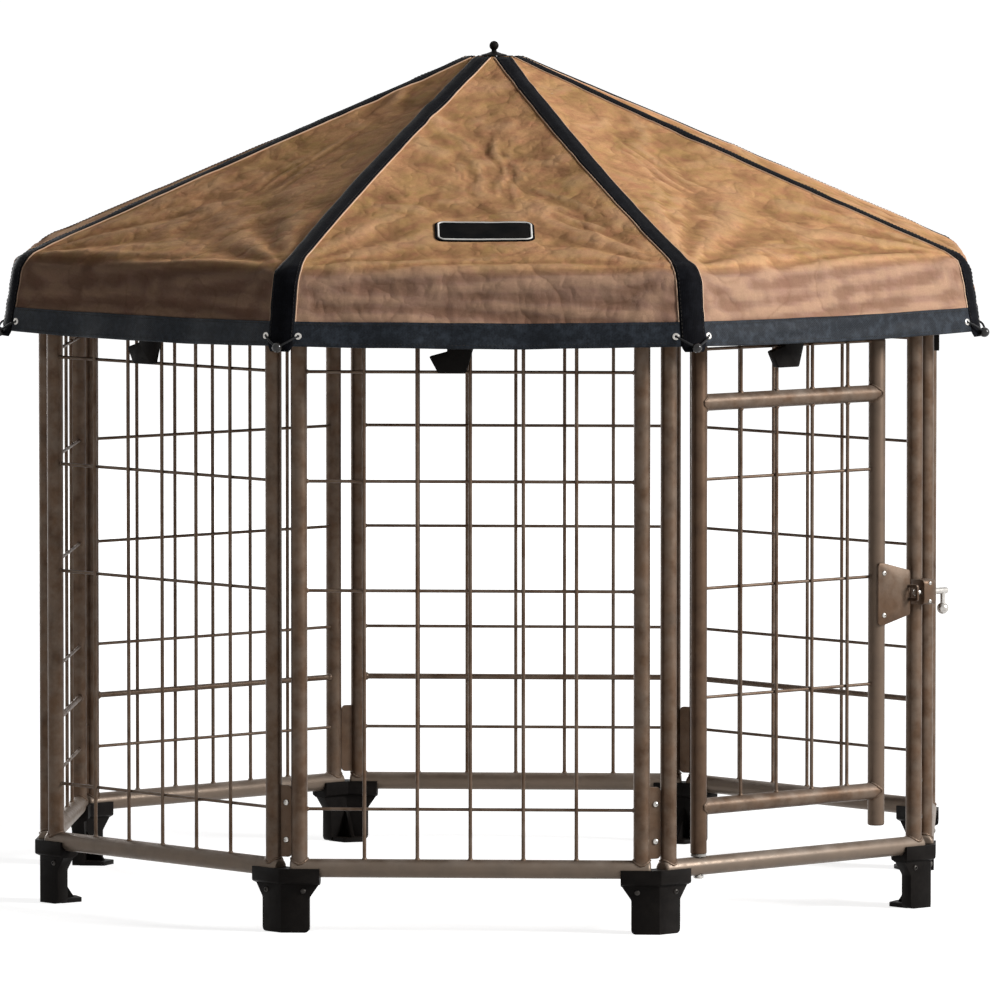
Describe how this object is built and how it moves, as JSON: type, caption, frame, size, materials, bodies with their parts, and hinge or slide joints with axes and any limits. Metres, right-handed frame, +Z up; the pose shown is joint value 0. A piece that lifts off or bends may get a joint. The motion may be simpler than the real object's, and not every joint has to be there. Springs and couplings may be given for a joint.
{
  "type": "pet gazebo",
  "caption": "Octagonal outdoor dog pen of welded wire panels on moulded feet, with a hinged wire door, a slide latch and a tan fabric canopy on radial poles",
  "frame": {"origin": "on the floor under the middle of the roof", "axes": "+Z up; the door faces -Y and +X is to the right of someone who faces the door"},
  "size_m": [1.3304, 1.3304, 1.1725],
  "materials": {
    "bronze_powder_coat": "satin bronze powder coat",
    "black_moulding": "black moulded plastic",
    "zinc_plated_steel": "zinc plated",
    "grey_nylon": "plain moulded nylon",
    "tan_canvas": "coated woven polyester"
  },
  "bodies": {
    "frame": {"door_frame": "bronze_powder_coat", "latch_guide": "bronze_powder_coat", "panel_front_right": "bronze_powder_coat", "panel_right": "bronze_powder_coat", "panel_rear_right": "bronze_powder_coat", "panel_rear": "bronze_powder_coat", "panel_rear_left": "bronze_powder_coat", "panel_left": "bronze_powder_coat", "panel_front_left": "bronze_powder_coat", "roof_pole_1": "bronze_powder_coat", "roof_pole_2": "bronze_powder_coat", "roof_pole_3": "bronze_powder_coat", "roof_pole_4": "bronze_powder_coat", "roof_pole_5": "bronze_powder_coat", "roof_pole_6": "bronze_powder_coat", "roof_pole_7": "bronze_powder_coat", "roof_pole_8": "bronze_powder_coat", "foot_1": "black_moulding", "foot_2": "black_moulding", "foot_3": "black_moulding", "foot_4": "black_moulding", "foot_5": "black_moulding", "foot_6": "black_moulding", "foot_7": "black_moulding", "foot_8": "black_moulding", "top_bracket_1": "black_moulding", "top_bracket_2": "black_moulding", "top_bracket_3": "black_moulding", "top_bracket_4": "black_moulding", "top_bracket_5": "black_moulding", "top_bracket_6": "black_moulding", "top_bracket_7": "black_moulding", "top_bracket_8": "black_moulding", "canopy_clip_front": "black_moulding", "canopy_clip_front_right": "black_moulding", "canopy_clip_right": "black_moulding", "canopy_clip_rear_right": "black_moulding", "canopy_clip_rear": "black_moulding", "canopy_clip_rear_left": "black_moulding", "canopy_clip_left": "black_moulding", "canopy_clip_front_left": "black_moulding", "roof_hub": "black_moulding", "finial": "black_moulding", "hinge_pin_bottom": "zinc_plated_steel", "hinge_pin_top": "zinc_plated_steel", "hinge_bush_bottom": "grey_nylon", "hinge_bush_top": "grey_nylon", "canopy_gore_front": "tan_canvas", "canopy_gore_front_right": "tan_canvas", "canopy_gore_right": "tan_canvas", "canopy_gore_rear_right": "tan_canvas", "canopy_gore_rear": "tan_canvas", "canopy_gore_rear_left": "tan_canvas", "canopy_gore_left": "tan_canvas", "canopy_gore_front_left": "tan_canvas"},
    "door": {"door_leaf": "bronze_powder_coat", "latch_strike": "bronze_powder_coat"},
    "latch": {"latch_bolt": "zinc_plated_steel"}
  },
  "joints": [
    {"name": "door_swing", "type": "hinge", "parent": "frame", "child": "door", "pos_m": [-0.17303, -0.6, 0.45], "axis": [0, 0, -1], "range_deg": [0, 150]},
    {"name": "latch_slide", "type": "slide", "parent": "frame", "child": "latch", "axis": [-1, 0, 0], "range_m": [0, 0.018]}
  ]
}
